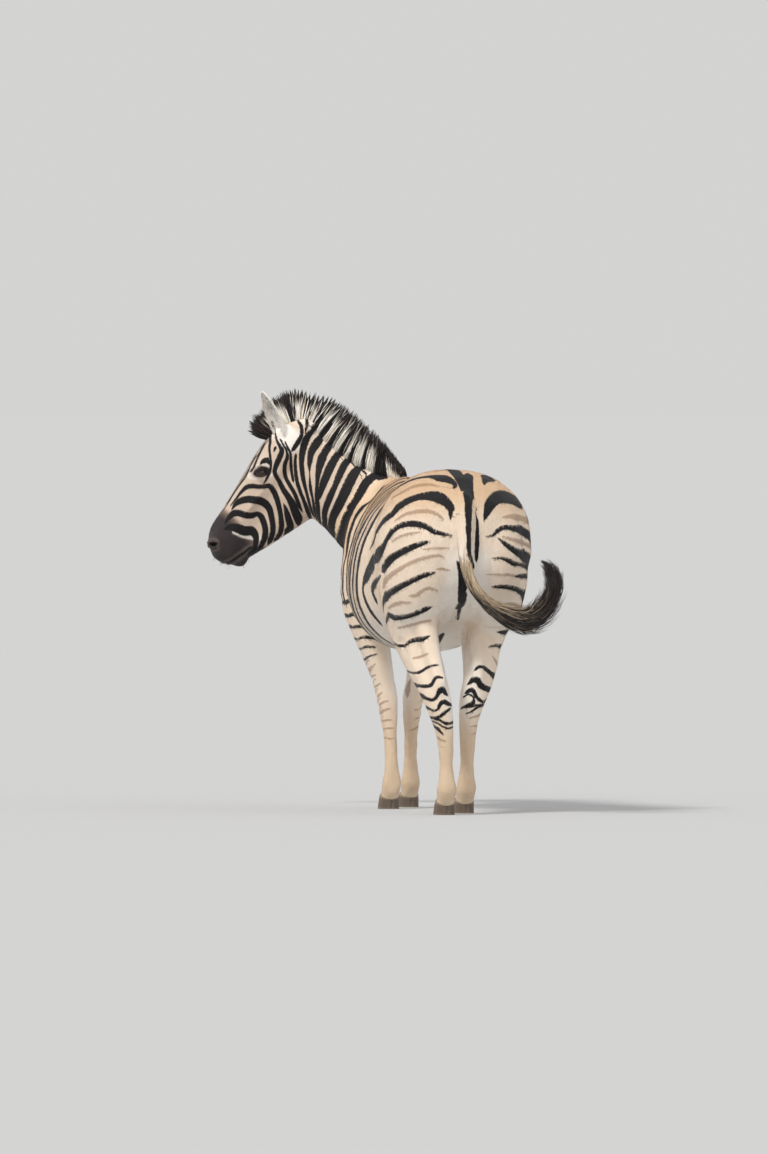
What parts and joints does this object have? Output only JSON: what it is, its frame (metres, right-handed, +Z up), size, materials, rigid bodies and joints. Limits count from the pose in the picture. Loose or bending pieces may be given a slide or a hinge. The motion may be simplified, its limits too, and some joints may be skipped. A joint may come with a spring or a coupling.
{
  "type": "plains zebra",
  "caption": "Life-size plains zebra model standing still, head turned to its left, upright striped mane, tail tuft swung aside and curled up, flat hoof soles.",
  "frame": {"origin": "floor level under the middle of the whole animal's box", "axes": "+Z up, the body faces -Y, its left side is towards +X; the head is turned towards +X"},
  "size_m": [1.0062, 1.707, 1.603],
  "materials": {
    "coat": "short flat hair, cream with black bands",
    "dusty_coat": "short flat hair, dusty tan with thin dark bands",
    "ear_hair": "soft pale hair",
    "mane_hair": "stiff upright hair, black towards the tips",
    "tail_hair": "long mixed pale and black hair",
    "hoof_horn": "dull grey-brown horn with fine growth rings",
    "eye_surface": "wet dark brown"
  },
  "bodies": {
    "root": {"head": "coat", "neck": "coat", "trunk": "coat", "fore_leg_left": "dusty_coat", "fore_leg_right": "dusty_coat", "hind_leg_left": "dusty_coat", "hind_leg_right": "dusty_coat", "hoof_fore_left": "hoof_horn", "hoof_fore_right": "hoof_horn", "hoof_hind_left": "hoof_horn", "hoof_hind_right": "hoof_horn", "ear_left": "ear_hair", "ear_right": "ear_hair", "eye_left": "eye_surface", "eye_right": "eye_surface", "mane": "mane_hair", "forelock": "mane_hair", "tail_dock": "tail_hair", "tail_middle": "tail_hair", "tail_tuft": "tail_hair"}
  },
  "joints": []
}
